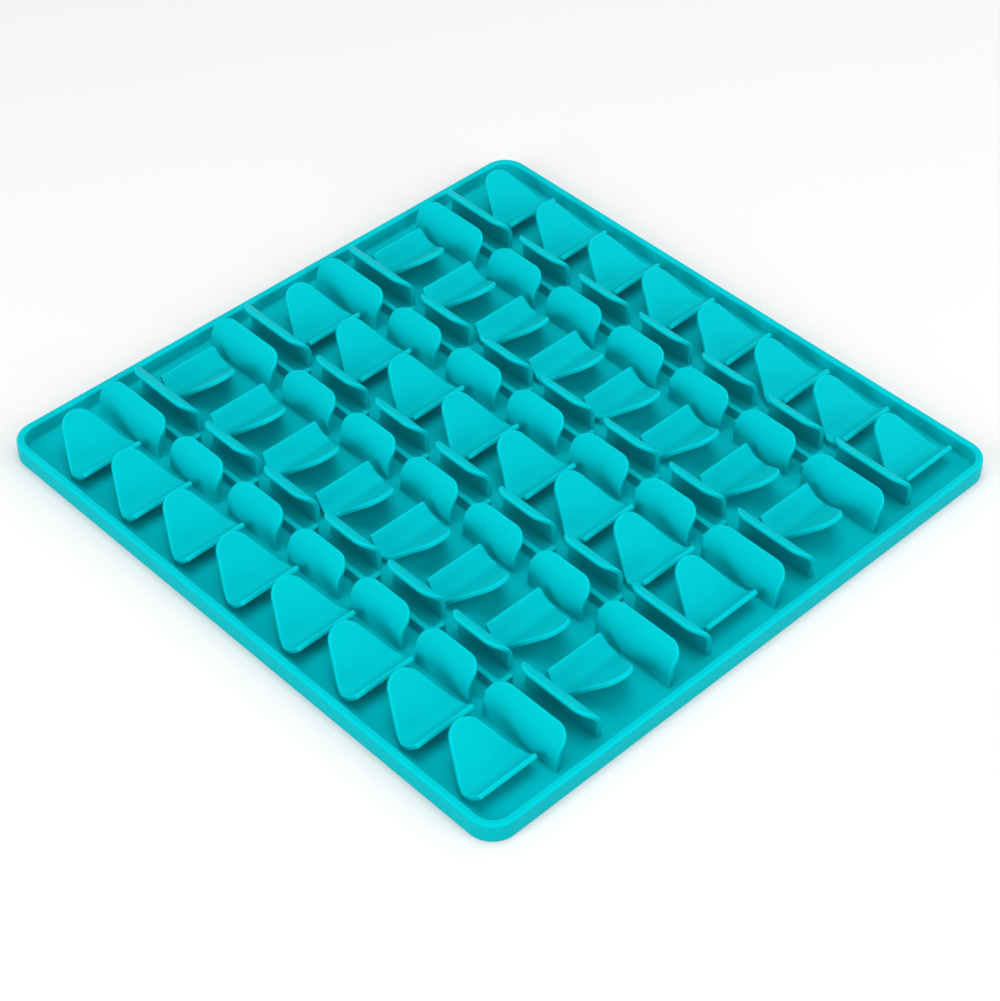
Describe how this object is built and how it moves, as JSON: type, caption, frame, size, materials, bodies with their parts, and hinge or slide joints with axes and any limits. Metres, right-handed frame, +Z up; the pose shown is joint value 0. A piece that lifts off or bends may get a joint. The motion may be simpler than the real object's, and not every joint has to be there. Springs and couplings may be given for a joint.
{
  "type": "lick mat",
  "caption": "Square moulded silicone lick mat: a tray with a low rim, bands of folded leaf-shaped flaps and of paired curled blades, and low crosses in the gaps.",
  "frame": {"origin": "middle of the underside, on the surface that the mat lies on", "axes": "+Z up, out of the licking side; +X and +Y along the sides, the bands of flaps run along X"},
  "size_m": [0.254, 0.254, 0.0175],
  "materials": {
    "silicone": "satin teal silicone, moulded smooth"
  },
  "bodies": {
    "root": {"mat": "silicone"}
  },
  "joints": []
}
